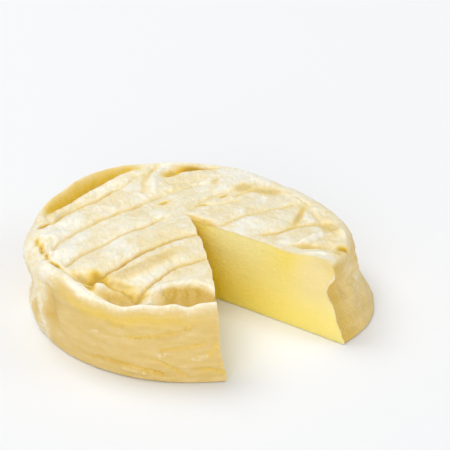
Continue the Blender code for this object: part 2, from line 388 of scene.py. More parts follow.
MOUNDS: tuple[Mound, ...] = (
    Mound((-2.5, 56.4), 8.5, 2.4, 8, -2.2, square=1.5, gold=1.0),
    Mound((-12.4, 51.6), 5.4, 2.2, 48, -1.4, square=1.2, gold=0.65),
    Mound((-19.6, 40), 8.0, 1.4, 94, 0.8, white=0.5),
    Mound((-17.6, 51), 4.6, 1.4, 68, 0.9, white=0.4),
    Mound((-12.5, 57.4), 5.0, 1.4, 30, 0.6, white=0.2),
    Mound((-9, 42), 8.0, 5.0, 20, -0.3, gold=0.05),
    Mound((15, 44), 13.0, 15.0, 0, 0.8, square=2.0, white=0.3),
    Mound((-36.6, -41.4), 5.2, 2.8, -34, -3.8, square=1.2, gold=1.0),
    Mound((-41.0, -40.2), 6.5, 3.4, -28, -1.6, gold=0.45),
    Mound((-36.4, -38.6), 4.4, 2.6, -40, 0.0, square=0.7, gold=0.85),
    Mound((-35.0, -46.6), 2.6, 1.7, 10, 1.4, square=1.8, white=0.5),
    Mound((-58.6, 2.4), 3.8, 1.1, 55, -2.2, gold=1.0),
    Mound((-59.6, -11.8), 4.2, 0.8, -68, -1.8, gold=1.0),
    Mound((-57.2, -18.6), 5.0, 0.6, -68, -1.2, gold=0.8),
    Mound((-52.4, -29.4), 4.6, 0.7, -58, -1.3, gold=0.9),
    Mound((37, 14), 11.0, 1.4, 76, -0.6, gold=0.42),
    Mound((41.6, -7.4), 7.0, 1.1, 42, 1.9, square=1.3, white=0.7),
    Mound((38.6, -11.2), 1.5, 1.1, 20, 0.8, white=0.6),
    Mound((41.4, -8.2), 1.7, 1.0, 60, 0.7, white=0.6),
    Mound((44.6, -4.9), 1.6, 0.9, 20, 0.7, white=0.5),
    Mound((47.8, -2.2), 2.0, 1.1, 50, 0.7, white=0.4),
    Mound((39.6, -14.2), 7.0, 1.9, 8, -1.2, gold=0.4),
    Mound((41.0, -21.6), 4.6, 1.2, 12, 0.7, square=1.4, white=0.9),
    Mound((53.0, -12.6), 3.2, 2.0, 16, -3.0, square=1.3, gold=1.0),
    Mound((50.0, -17.0), 2.0, 3.4, 0, -0.8, gold=0.35),
    # Its white is a painted highlight on the bumps of the right-hand shoulder.
    Mound((53.2, -0.5), 6.0, 1.5, -72, 1.2, white=0.4),
    Mound((47.5, 5.5), 5.5, 3.4, -60, -0.3, gold=0.3),
    Mound((16, 37), 6.0, 3.4, 45, -0.4, gold=0.35),
    Mound((25, 36), 7.0, 3.4, 10, -0.3, gold=0.32),
    Mound((8, 28), 2.4, 1.1, 45, -0.4, gold=0.5),
    Mound((5, 43), 3.0, 1.6, 70, -0.4, gold=0.3),
    Mound((-21.4, -51.4), 2.6, 2.4, 0, -1.0, gold=0.6),
    Mound((-15, -52), 4.6, 2.6, 50, 0.9, white=0.4),
    Mound((-19.4, -56.0), 3.2, 1.5, 15, 1.0, white=0.9),
    Mound((-15, 22), 2.2, 1.2, 30, -0.6, gold=0.6),
    Mound((0.5, 21), 2.0, 1.0, 10, -0.6, gold=0.5),
    Mound((-51, -20), 5.0, 3.6, 48, 1.1, white=0.7),
    Mound((-55, -6), 6.0, 3.2, 30, 0.6, white=0.4),
    Mound((-51, 7), 6.0, 3.6, 50, 0.9, white=0.7),
    Mound((-46, -8), 5.0, 3.6, 50, 0.7, white=0.6),
    Mound((-20, 6), 22.0, 5.0, 49, 0.4),
    Mound((-19.2, -31), 17.0, 3.8, 46, 0.3, gold=0.33),
    Mound((-26, -37), 8.0, 3.6, 46, 0.5, gold=0.34),
    Mound((-27.5, -49.0), 4.8, 1.3, -8, 0.9, square=1.6),
    Mound((-38.6, -46.2), 3.2, 1.3, -45, -1.0, gold=0.8),
    Mound((-28.4, -44.8), 6.4, 1.8, -30, -0.3, gold=0.5),
)


# The edge along which the rind has torn behind the front of the lip, from left to right. In
# front of it the bare slope falls towards the lip.
TORN_EDGE: tuple[Span, ...] = (
    (-46, -60),
    (-41, -49),
    (-37, -48),
    (-34, -46.6),
    (-31, -46.8),
    (-28, -48.4),
    (-25.5, -47.4),
    (-23, -49.0),
    (-20, -52.0),
    (-16, -49.0),
    (-13, -46.8),
    (-9, -45.0),
    (-4, -44.6),
    (0, -45.6),
    (3, -48.6),
    (8, -53.0),
)


# Where the lip stands higher or lower than its plain crest.
LIP_LUMPS: tuple[Spot, ...] = (
    Spot(219.0, 4.0, 0.4),
    Spot(231.0, 4.0, -1.1),
    Spot(239.0, 2.2, 0.4),
    Spot(245.0, 2.5, -0.4),
    Spot(251.5, 3.5, 1.0),
    Spot(261.5, 2.0, 0.6),
    Spot(266.5, 2.2, -0.9),
    Spot(274.0, 4.0, 0.4),
)


@dataclass(frozen=True)
class WallFold:
    """A crease in the wall, or a ridge where the rise is positive.

    start and end are each a bearing and a height, and sag is how far the middle hangs below
    a straight run. pale is how white its skin is scuffed, and gold how golden it is.
    """

    start: Span
    end: Span
    sag: float
    half: float
    rise: float
    pale: float = 0.0
    gold: float = 0.0


WALL_FOLDS: tuple[WallFold, ...] = (
    WallFold((218, 20.5), (272, 22.0), 2.2, 2.4, -0.8),
    WallFold((240, 21), (246, 20.2), 0.2, 0.5, -0.7),
    WallFold((247, 16.4), (268, 21.5), 0.9, 0.6, -0.8),
    WallFold((248, 18.8), (268, 23.5), 0.9, 1.4, 0.35),
    WallFold((257, 13.0), (271, 15.6), 0.5, 0.6, -0.6),
    WallFold((257, 14.6), (271, 17.2), 0.5, 1.2, 0.3),
    WallFold((232, 3.4), (260, 2.2), -2.6, 0.6, -1.1),
    WallFold((234, 1.4), (259, 0.6), -2.4, 1.2, 0.6),
    WallFold((250, 4.6), (259, 2.6), 0.2, 0.5, -0.7),
    WallFold((256, 9.0), (265, 2.0), -0.8, 0.6, -0.9),
    WallFold((260, 6.0), (270, 8.0), -1.6, 1.6, 0.6),
    WallFold((268, 5.0), (276, 3.0), -0.8, 0.7, -0.8),
    WallFold((271, 10.5), (275, 16.0), 0.6, 0.8, -0.5),
    WallFold((208, 22.5), (212, 11), 0.0, 0.8, 1.0),
    WallFold((212.5, 24), (218.5, 8), 0.8, 2.4, -1.4),
    WallFold((205.5, 23), (208.5, 12), 0.0, 0.7, -1.0),
    WallFold((202, 24), (205, 14), 0.0, 0.8, 0.6),
    WallFold((198, 24), (202, 13), 0.6, 0.7, -0.8),
    WallFold((193, 22), (198, 12), 0.0, 0.9, -0.6),
    WallFold((172, 12.5), (203, 13.0), 0.0, 4.2, -2.3),
    WallFold((176, 4), (206, 4.5), 0.0, 3.2, 1.3),
    WallFold((316, 18.5), (337, 18.5), 0.0, 3.6, -2.4),
    WallFold((352, 24), (342, 14), 0.0, 2.2, -0.9, gold=0.45),
    WallFold((349, 26), (337, 8), 0.0, 2.6, 0.7, 0.15),
    WallFold((357, 24), (350, 6), 0.0, 1.6, 0.5, 0.3),
    WallFold((14, 18), (58, 19.5), 1.2, 1.1, -0.6),
    WallFold((30, 7), (74, 9.5), -1.2, 0.9, -0.7),
    WallFold((66, 20), (112, 17), 1.6, 1.3, -0.6),
    WallFold((92, 6), (139, 8.5), 0.9, 1.0, -0.7),
    WallFold((118, 14), (160, 17.5), -1.2, 1.3, 0.5),
    WallFold((140, 5), (166, 12), 0.6, 1.0, -0.7),
    WallFold((60, 13), (66, 13.8), 0.0, 1.4, 0.3, 0.6),
    WallFold((126, 11.5), (133, 11), 0.0, 1.2, 0.3, 0.6),
    WallFold((235, 15.5), (238, 16.5), 0.0, 1.4, 0.30, 0.7),
    WallFold((256, 11.2), (261, 11.6), 0.3, 1.3, 0.30, 0.6),
    WallFold((266, 9.4), (272, 11.2), 0.3, 1.2, 0.30, 0.7),
    WallFold((245, 3.6), (253, 3.0), 0.0, 0.8, 0.25, 0.6),
    WallFold((241, 20.4), (245, 20.8), 0.0, 0.7, 0.15, 0.4),
    WallFold((264, 7.0), (267, 5.6), 0.0, 0.8, 0.20, 0.5),
)


# ---------------------------------------------------------------------------- the surface


@dataclass
class Outline:
    """The closed curves of the wheel, as they are seen from the tip of the wedge."""

    tip: Span = (-5.0, 9.6)
    samples: int = 3241
    places: tuple[Place, ...] = ROUND_THE_WHEEL

    def value(self, name: str, bearings: Grid) -> Grid:
        """One column of the table, joined by cubic pieces whose slopes match at each place.

        Args:
            name: The column.
            bearings: Bearings from the middle of the foot.

        Returns:
            The column's value at each bearing.
        """
        knots = np.array([place.bearing for place in self.places], float)
        values = np.array([getattr(place, name) for place in self.places], float)
        knots = np.concatenate([knots[-2:] - 360.0, knots, knots[:3] + 360.0])
        values = np.concatenate([values[-2:], values, values[:3]])
        slopes = np.gradient(values, knots)
        around = np.mod(bearings, 360.0)
        left = np.searchsorted(knots, around, side="right") - 1
        gap = knots[left + 1] - knots[left]
        share = (around - knots[left]) / gap
        start = values[left] * (1.0 + 2.0 * share) * (1.0 - share) ** 2
        end = values[left + 1] * (3.0 - 2.0 * share) * share**2
        lean = slopes[left] * share * (1.0 - share) ** 2
        lean_end = slopes[left + 1] * share**2 * (1.0 - share)
        return start + end + gap * (lean - lean_end)

    def reach(self, name: str, bearings: Grid) -> tuple[Grid, Grid]:
        """How far a closed curve lies from the wedge's tip along each bearing.

        The curve is laid out round the middle, and its distance and bearing from the tip are
        read off between its points.

        Args:
            name: The column that holds the curve's radius.
            bearings: Bearings from the wedge's tip.

        Returns:
            The distances from the tip, and the bearings of the same points from the middle.
        """
        around = np.linspace(-360.0, 720.0, self.samples)
        radius = self.value(name, around)
        x = radius * np.cos(np.radians(around)) - self.tip[0]
        y = radius * np.sin(np.radians(around)) - self.tip[1]
        seen = np.degrees(np.unwrap(np.arctan2(y, x)))
        centre = self.samples // 2
        seen -= 360.0 * round((seen[centre] - around[centre]) / 360.0)
        distance = np.interp(bearings, seen, np.hypot(x, y))
        return distance, np.interp(bearings, seen, around)

    def laid_out(self, distance: Grid, bearings: Grid) -> tuple[Grid, Grid]:
        """Plan positions at distances and bearings from the wedge's tip.

        Args:
            distance: The distances.
            bearings: The bearings.

        Returns:
            The positions across and in depth.
        """
        x = self.tip[0] + distance * np.cos(np.radians(bearings))
        y = self.tip[1] + distance * np.sin(np.radians(bearings))
        return x, y

    def away(self, points: Grid) -> Grid:
        """How far each point lies from the tip, seen from above."""
        return np.hypot(points[..., 0] - self.tip[0], points[..., 1] - self.tip[1])


@dataclass
class TopRelief:
    """The rack's marks, hills, hollows, tear and crinkles of the rind's top.

    The torn fields shape the tear behind the front of the lip, and bare how soon its slope has
    lost its rind. The tan fields are how brown that slope is and how much painted shade it gets,
    with more of both to the left and to the right than in between.
    """

    grooves: tuple[Groove, ...] = GROOVES
    groove_run: Stretch = Stretch(-0.06, 0.1, 1.06, 0.2)
    dip_width: float = 2.2
    slit_gold: float = 0.85
    dip_gold: float = 0.06
    slit_shade: float = 0.95
    mounds: tuple[Mound, ...] = MOUNDS
    mound_gold_spread: float = 1.7
    mound_shade_from: float = 0.45
    mound_bloom_spread: float = 1.3
    torn_edge: tuple[Span, ...] = TORN_EDGE
    torn_start: Ease = Ease(-46.0, 5.0)
    torn_step: Ease = Ease(-0.42, 1.4, 0.6)
    torn_slope: float = 0.30
    torn_limit: float = 2.8
    torn_rim: Spot = Spot(-1.1, 1.1, 0.12)
    bare: Ease = Ease(-0.2, 3.4)
    bare_rags: float = 0.4
    tan_least: float = 0.18
    tan_left: Ease = Ease(-20.0, -3.0, 0.5)
    tan_right: Ease = Ease(-17.5, 9.0, 0.68)
    torn_gold: float = 0.65
    torn_shade: float = 0.95
    torn_bloom_least: float = 0.2
    torn_bloom: float = 0.6
    wander: Crumple = Crumple(3, 0.7, (9.0, 9.0, 9.0))
    wander_shift: float = 40.0
    rags: Crumple = Crumple(29, 0.8, (3.2, 3.2, 3.2))
    crumbs: Crumple = Crumple(53, 0.42, (3.0, 2.4, 2.6), 2)
    ripples: Crumple = Crumple(5, 0.55, (13.0, 17.0, 13.0), 2)
    crinkles: Crumple = Crumple(7, 0.27, (4.5, 7.5, 5.0))
    crinkle_crest: float = 0.108
    pimples: Crumple = Crumple(43, 0.15, (2.0, 3.6, 2.0), 2)

    def groove(self, x: Grid, y: Grid, groove: Groove) -> tuple[Grid, Grid]:
        """One mark: a narrow bell-shaped slit in a wider dip, bowed as a parabola and a sine.

        Args:
            x: Positions across.
            y: Positions in depth.
            groove: The mark.

        Returns:
            Its height, which is negative, and how golden it leaves each point.
        """
        along, aside = beside(x, y, groove.start, groove.end, groove.bow)
        aside = aside - groove.sway * np.sin(2.0 * math.pi * along)
        fade = self.groove_run.share(along)
        slit = bump(aside / groove.half)
        height = -groove.depth * slit - groove.dip * np.exp(-np.abs(aside) / self.dip_width)
        shade = self.slit_gold * slit + self.dip_gold * bump(aside / self.dip_width)
        return fade * height, groove.gold * fade * shade

    def mound(self, x: Grid, y: Grid, mound: Mound) -> Grid:
        """How much of a mound each point has: a bell of its distance in half-widths.

        Args:
            x: Positions across.
            y: Positions in depth.
            mound: The hill or hollow.

        Returns:
            Shares from 0 to 1.
        """
        turn = math.radians(mound.bearing)
        along = (x - mound.at[0]) * math.cos(turn) + (y - mound.at[1]) * math.sin(turn)
        aside = (y - mound.at[1]) * math.cos(turn) - (x - mound.at[0]) * math.sin(turn)
        away = (along / mound.long_half) ** 2 + (aside / mound.short_half) ** 2
        return np.exp(-(away**mound.square))

    def torn(self, x: Grid, y: Grid) -> tuple[Grid, Grid]:
        """The tear behind the lip: a step down at a ragged edge, then a slope to the lip.

        Args:
            x: Positions across.
            y: Positions in depth.

        Returns:
            The heights to add, and how bare the tear leaves each point.
        """
        edge = np.array(self.torn_edge, float)
        rags = self.rags.at(np.stack([x, np.zeros_like(x), np.zeros_like(x)], axis=-1))
        plain = np.interp(x, edge[:, 0], edge[:, 1]) - y
        start = self.torn_start.share(x)
        fall = np.minimum(self.torn_slope * np.maximum(plain, 0.0), self.torn_limit)
        step = self.torn_step.share(plain + rags) - self.torn_rim.share(plain + rags)
        return -start * (step + fall), start * self.bare.share(plain + self.bare_rags * rags)

    def laid_on(self, points: Grid) -> tuple[Grid, Masks]:
        """The whole relief of the top, and the colours that go with it.

        Args:
            points: Positions on the plain top.

        Returns:
            The heights to add, and the gold, the painted shade and the added bloom of each point.
        """
        flat = points * np.array([1.0, 1.0, 0.0])
        x = points[..., 0] + self.wander.at(flat)
        y = points[..., 1] + self.wander.at(flat + self.wander_shift)
        height, gold, shade, bloom = (np.zeros_like(x) for _ in range(4))
        for groove in self.grooves:
            rise, closeness = self.groove(x, y, groove)
            height += rise
            gold = most(gold, closeness)
            shade = most(shade, self.slit_shade * closeness**2)
        for mound in self.mounds:
            share = self.mound(x, y, mound)
            spread = self.mound_gold_spread * share
            height += mound.rise * share
            gold = most(gold, mound.gold * smooth(spread))
            shade = most(shade, mound.gold * smooth(spread - self.mound_shade_from))
            bloom = most(bloom, mound.white * smooth(self.mound_bloom_spread * share))
        rise, bare = self.torn(points[..., 0], points[..., 1])
        tan = self.tan_least + self.tan_left.share(x) + self.tan_right.share(x)
        gold = most(gold, self.torn_gold * tan * bare)
        shade = most(shade, self.torn_shade * tan * bare)
        bloom = bloom - (self.torn_bloom_least + self.torn_bloom * tan) * bare
        height += rise + bare * self.crumbs.at(flat) + self.ripples.at(flat) + self.pimples.at(flat)
        height += self.crinkle_crest - np.abs(self.crinkles.at(flat))
        return height, {Mask.GOLD: gold, Mask.HOLLOW: shade, Mask.BLOOM: bloom}


@dataclass
class WallRelief:
    """The folds, creases and fine level wrinkles of the wall."""

    folds: tuple[WallFold, ...] = WALL_FOLDS
    middle_radius: float = 65.0
    end_fade: float = 6.0
    creased_gold: float = 0.45
    crease_rise: float = -0.4
    crease_half: float = 1.5
    wrinkles: Crumple = Crumple(11, 0.30, (14.0, 2.6, 9.0))
    lumps: Crumple = Crumple(13, 0.52, (16.0, 9.0, 9.0), 2)
    pimples: Crumple = Crumple(37, 0.22, (3.2, 3.2, 9.0), 2)
    crumples: Crumple = Crumple(41, 0.55, (4.5, 6.0, 9.0))
    crumpled_at: Spot = Spot(202.0, 13.0)

    def fold(self, around: Grid, level: Grid, fold: WallFold) -> Grid:
        """One fold: a bell across a run that hangs as a parabola, fading at both ends.

        Args:
            around: Bearings from the middle.
            level: Heights above the board.
            fold: The fold.

        Returns:
            How much of the fold each point has, from 0 to 1.
        """
        arc = math.radians(1.0) * self.middle_radius
        start, end = ((at * arc, up) for at, up in (fold.start, fold.end))
        along, aside = beside(around * arc, level, start, end, fold.sag)
        fade = smooth(along * self.end_fade + 0.5) * smooth((1.0 - along) * self.end_fade + 0.5)
        return fade * bump(aside / fold.half)

    def outward(self, around: Grid, level: Grid) -> Grid:
        """The whole relief of the wall.

        Args:
            around: Bearings from the middle.
            level: Heights above the board.

        Returns:
            How far each point moves outwards.
        """
        arc = np.radians(around) * self.middle_radius
        laid = np.stack([arc, level, np.zeros_like(arc)], axis=-1)
        total = self.wrinkles.at(laid) + self.lumps.at(laid) + self.pimples.at(laid)
        total += self.crumpled_at.share(around) * self.crumples.at(laid)
        for fold in self.folds:
            total += fold.rise * self.fold(around, level, fold)
        return total

    def worn(self, around: Grid, level: Grid) -> tuple[Grid, Grid]:
        """How white the scuffs leave the wall, and how golden its creases are.

        Args:
            around: Bearings from the middle.
            level: Heights above the board.

        Returns:
            The white and the gold, each from 0 to 1.
        """
        white = np.zeros_like(level)
        gold = np.zeros_like(level)
        for fold in self.folds:
            share = self.fold(around, level, fold)
            creased = fold.rise < self.crease_rise and fold.half < self.crease_half
            white = most(white, fold.pale * share)
            gold = most(gold, (self.creased_gold if creased else fold.gold) * share)
        return white, gold


@dataclass
class CutRelief:
    """How the cut paste has bulged, crept and torn, as a distance out of each cut.

    All of it dies away behind a cut, within the degrees of fade, or of torn_fade for what has
    torn. The right-hand cut swells and has a scoop torn out of its rind at the outer end.
    """

    fade: float = 14.0
    torn_fade: float = 3.0
    bulge: float = 2.0
    creep: float = 2.6
    creep_height: float = 8.0
    bulge_reach: float = 70.0
    swell: Ease = Ease(3.0, 13.0, 1.1)
    swell_reach: float = 60.0
    waves: float = 0.35
    wave_cell: Triple = (24.0, 14.0, 9.0)
    rags: float = 0.4
    rag_cell: Triple = (2.6, 2.6, 2.6)
    rag_shift: float = 90.0
    rag_up: Ease = Ease(PLATEAU - 3.0, 3.0)
    rag_out: Ease = Ease(62.0, 4.0)
    tip_calm: float = 6.0
    scoop: Spot = Spot(59.0, 7.0, 4.0)
    scoop_up: Ease = Ease(17.0, 10.0)
    scoop_spread: float = 15.0
    last_seed: int = 19
    first_seed: int = 23

    def last(self, distance: Grid, level: Grid, behind: Grid) -> Grid:
        """The left-hand cut: a half wave outwards, and a foot that has crept out further.

        The foot's share is one over one plus the square of the height in creep heights.

        Args:
            distance: Distances from the wedge's tip.
            level: Heights above the board.
            behind: How many degrees the points lie behind the cut.

        Returns:
            How far each point moves out of the cut.
        """
        share = distance / self.bulge_reach
        belly = self.bulge * np.sin(math.pi * np.clip(share, 0.0, 1.0)) * smooth(level / PLATEAU)
        crept = self.creep * share**3 / (1.0 + (level / self.creep_height) ** 2)
        out = (belly + crept) * smooth(1.0 - behind / self.fade)
        return out + self.torn(distance, level, behind, self.last_seed)

    def first(self, distance: Grid, level: Grid, behind: Grid) -> Grid:
        """The right-hand cut: a swelling near the tip, and rind torn back at the outer end.

        The tear is a bell of the distance, growing from nothing low down to all at the top.

        Args:
            distance: Distances from the wedge's tip.
            level: Heights above the board.
            behind: How many degrees the points lie behind the cut.

        Returns:
            How far each point moves out of the cut.
        """
        swell = self.swell.share(distance) * np.clip(1.0 - distance / self.swell_reach, 0.0, 1.0)
        swell = swell * smooth(1.0 - behind / self.fade)
        scoop = self.scoop.share(distance) * self.scoop_up.share(level) * (behind < 90.0)
        scoop = scoop * smooth(1.0 - off_plane(distance, behind) / self.scoop_spread)
        return swell - scoop + self.torn(distance, level, behind, self.first_seed)

    def torn(self, distance: Grid, level: Grid, behind: Grid, seed: int) -> Grid:
        """Either cut: slow waves all over it, and a ragged edge along the rind.

        Args:
            distance: Distances from the wedge's tip.
            level: Heights above the board.
            behind: How many degrees the points lie behind the cut.
            seed: Which random fields.

        Returns:
            How far each point moves out of the cut.
        """
        laid = np.stack([distance, level, np.zeros_like(distance)], axis=-1)
        waves = Crumple(seed, self.waves, self.wave_cell, 2).at(laid)
        rags = Crumple(seed, self.rags, self.rag_cell).at(laid + self.rag_shift)
        by_rind = most(self.rag_up.share(level), self.rag_out.share(distance))
        calm = smooth(distance / self.tip_calm) * smooth(1.0 - behind / self.torn_fade)
        return (waves + by_rind * rags) * calm


# ---------------------------------------------------------------------------- the finishes


class Nodes:
    """A material, and a short way to lay out its nodes."""

    NOISE_ROUGHNESS = 0.55
    FIRST_COLOUR = 6
    SECOND_COLOUR = 7
    MIXED_COLOUR = 2

    def __init__(self, name: str) -> None:
        """Makes the material.

        Args:
            name: Its name.
        """
        self.material = bpy.data.materials.new(name)
        self.material.use_nodes = True
        self.tree = self.material.node_tree
        self.shader = self.tree.nodes["Principled BSDF"]

    @cached_property
    def place(self) -> Socket:
        """The object's own coordinates."""
        return self.tree.nodes.new("ShaderNodeTexCoord").outputs["Object"]

    def give(self, node: bpy.types.Node, inputs: dict[str | int, object]) -> None:
        """Sets or links inputs of a node.

        Args:
            node: The node.
            inputs: For each input, the output to link to it or the value to set.
        """
        for name, value in inputs.items():
            socket = node.inputs[name]
            if isinstance(value, Socket):
                self.tree.links.new(value, socket)
            else:
                socket.default_value = (*value, 1.0) if socket.type == "RGBA" else value

    def add(self, kind: str, inputs: dict[str | int, object], **settings: str | bool) -> bpy.types.Node:
        """Adds a node.

        Args:
            kind: Blender's name for it.
            inputs: What its inputs are given.
            settings: Its own settings.

        Returns:
            The node.
        """
        node = self.tree.nodes.new(kind)
        for name, value in settings.items():
            setattr(node, name, value)
        self.give(node, inputs)
        return node

    def mask(self, mask: Mask) -> Socket:
        """The output that reads one of the skin's masks."""
        return self.add("ShaderNodeAttribute", {}, attribute_name=mask.value).outputs["Fac"]

    def noise(self, size: float, detail: float = 3.0, stretch: Triple = (1.0, 1.0, 1.0)) -> Socket:
        """A noise in the object's own coordinates.

        Args:
            size: The size of its blotches, in millimetres.
            detail: How many finer layers it has.
            stretch: How many times denser it is along x, y and z.

        Returns:
            Its output, from 0 to 1.
        """
        mapping = self.add("ShaderNodeMapping", {"Vector": self.place, "Scale": stretch})
        inputs = {
            "Vector": mapping.outputs["Vector"],
            "Scale": 1.0 / (size * MM),
            "Detail": detail,
            "Roughness": self.NOISE_ROUGHNESS,
        }
        return self.add("ShaderNodeTexNoise", inputs).outputs["Fac"]

    def ramp(self, source: Socket, over: Span, to: Span = (0.0, 1.0)) -> Socket:
        """Spreads a stretch of a value over another, eased at both ends.

        Args:
            source: The value.
            over: The stretch of it that is spread.
            to: What its low end and its high end become.

        Returns:
            The output.
        """
        names = ("Value", "From Min", "From Max", "To Min", "To Max")
        inputs = dict(zip(names, (source, *over, *to)))
        node = self.add("ShaderNodeMapRange", inputs, interpolation_type="SMOOTHSTEP")
        return node.outputs["Result"]

    def maths(self, operation: str, first: Socket, second: Socket) -> Socket:
        """A sum of two values.

        Args:
            operation: Blender's name for it.
            first: The first value.
            second: The second value.

        Returns:
            The output, held between 0 and 1.
        """
        inputs = {0: first, 1: second}
        return self.add("ShaderNodeMath", inputs, operation=operation, use_clamp=True).outputs[0]

    def mix(self, share: Socket, first: Socket | Triple, second: Socket | Triple) -> Socket:
        """A blend of two colours.

        Args:
            share: How much of the second there is.
            first: The first colour.
            second: The second colour.

        Returns:
            The output.
        """
        inputs = {"Factor": share, self.FIRST_COLOUR: first, self.SECOND_COLOUR: second}
        return self.add("ShaderNodeMix", inputs, data_type="RGBA").outputs[self.MIXED_COLOUR]

    def relief(self, layers: tuple[tuple[Socket, float], ...]) -> None:
        """Adds fine bumps to the shader.

        Args:
            layers: Each a height output and how high it stands, in millimetres.
        """
        below: dict[str | int, object] = {}
        for source, height in layers:
            node = self.add("ShaderNodeBump", {"Height": source, "Distance": height * MM, **below})
            below = {"Normal": node.outputs["Normal"]}
        self.give(self.shader, below)


@dataclass(frozen=True)
class CheeseFinish:
    """Moist cream rind that is golden where it is bare, and yellow paste where it is cut."""

    cream: Triple = (0.89, 0.80, 0.56)
    straw: Triple = (0.87, 0.74, 0.43)
    # Also the colour of the painted highlights.
    bloom: Triple = (0.95, 0.91, 0.79)
    gold: Triple = (0.92, 0.64, 0.03)
    # The colour of the painted shade, in the tear partly also the brown of its bare slope.
    hollow: Triple = (0.56, 0.33, 0.015)
    side: Triple = (0.745, 0.535, 0.168)
    side_pale: Triple = (0.825, 0.625, 0.275)
    paste: Triple = (0.97, 0.85, 0.43)
    # The colour of the painted shade on the paste.
    shaded_paste: Triple = (0.94, 0.71, 0.03)
    roughness: float = 0.40
    specular: float = 0.5
    translucence: float = 0.4
    glow: Triple = (1.0, 0.88, 0.55)
    rind_glow: float = 0.8
    paste_glow: float = 5.6
    blotch_size: float = 6.5
    blotch_rise: float = 0.35
    speck_size: float = 1.6
    speck_stretch: Triple = (1.0, 0.6, 1.0)
    speck_rise: float = 0.46
    grain_size: float = 0.8
    grain_rise: float = 0.18
    streak_size: float = 9.0
    streak_stretch: Triple = (1.0, 1.0, 4.0)
    fine_layers: float = 4.0
    grain_layers: float = 2.0
    cream_blotches: Span = (0.35, 0.65)
    pale_streaks: Span = (0.30, 0.85)
    powder_specks: Span = (0.25, 0.75)
    powder: Span = (-0.26, 0.26)
    bloom_over: Span = (0.2, 1.15)
    wear_specks: Span = (0.2, 0.7)
    wear: Span = (0.85, 1.1)

    def material(self) -> bpy.types.Material:
        """Lays out the finish as nodes.

        Returns:
            The material.
        """
        nodes = Nodes("cheese_rind_and_paste")
        blotch = nodes.noise(self.blotch_size)
        speck = nodes.noise(self.speck_size, self.fine_layers, self.speck_stretch)
        streak = nodes.noise(self.streak_size, self.fine_layers, self.streak_stretch)
        grain = nodes.noise(self.grain_size, self.grain_layers)
        masks = {mask: nodes.mask(mask) for mask in Mask}

        top = nodes.mix(nodes.ramp(blotch, self.cream_blotches), self.straw, self.cream)
        side = nodes.mix(nodes.ramp(streak, self.pale_streaks), self.side, self.side_pale)
        colour = nodes.mix(masks[Mask.SIDE], top, side)
        powder = nodes.ramp(speck, self.powder_specks, self.powder)
        powder = nodes.maths("ADD", masks[Mask.BLOOM], powder)
        colour = nodes.mix(nodes.ramp(powder, self.bloom_over), colour, self.bloom)
        wear = nodes.ramp(speck, self.wear_specks, self.wear)
        colour = nodes.mix(nodes.maths("MULTIPLY", masks[Mask.GOLD], wear), colour, self.gold)
        # Painted shade laid over the rind's colour.
        colour = nodes.mix(masks[Mask.HOLLOW], colour, self.hollow)
        # Painted shade on the paste.
        paste = nodes.mix(masks[Mask.DEEP], self.paste, self.shaded_paste)
        colour = nodes.mix(masks[Mask.PASTE], colour, paste)
        depth = nodes.ramp(masks[Mask.PASTE], (0.0, 1.0), (self.rind_glow * MM, self.paste_glow * MM))
        surface = {
            "Base Color": colour,
            "Roughness": self.roughness,
            "Specular IOR Level": self.specular,
            "Subsurface Weight": self.translucence,
            "Subsurface Radius": self.glow,
            "Subsurface Scale": depth,
        }
        nodes.give(nodes.shader, surface)
        nodes.relief(((blotch, self.blotch_rise), (speck, self.speck_rise), (grain, self.grain_rise)))
        return nodes.material


@dataclass(frozen=True)
class BoardFinish:
    """Plain pale matt board."""

    colour: Triple = (0.88, 0.888, 0.90)
    roughness: float = 0.9

    def material(self) -> bpy.types.Material:
        """Lays out the finish as nodes.

        Returns:
            The material.
        """
        nodes = Nodes("pale_board")
        surface = {"Base Color": self.colour, "Roughness": self.roughness, "Specular IOR Level": 0.0}
        nodes.give(nodes.shader, surface)
        return nodes.material


# ---------------------------------------------------------------------------- the colouring


# The painted shade, in gold, under the overhang of the front lip: its bearings, and its fall
# from the crest.
UNDER_LIP_SHADE = Stretch(216.0, 14.0, 284.0, 34.0, 0.5)
UNDER_LIP_SHADE_BELOW = Spot(5.0, 2.6)


def under_lip_shade(around: Grid, below_crest: Grid) -> Grid:
    """Painted shade, in gold, under the front lip: a bell of the fall from its crest."""
    return UNDER_LIP_SHADE.share(around) * UNDER_LIP_SHADE_BELOW.share(below_crest)


@dataclass
class TopForm:
    """The shaped top, and what it is coloured by.

    around is the bearing from the middle, from 0 to 360. section holds the table's columns at
    it, with the uneven lip in the crest. distance is from the wedge's tip, as are the places
    of the crest, of the crease and of the edge where the relief ends. crease is how deep in
    the crease a point lies and eased how near the sunken rim of the right-hand cut, each from
    0 to 1. relief is what was added to the level, and laid the colours that came with it.
    """

    points: Grid
    around: Grid
    section: dict[str, Grid]
    distance: Grid
    crest_at: Grid
    crease_at: Grid
    edge: Grid
    crease: Grid
    eased: Grid
    relief: Grid
    laid: Masks


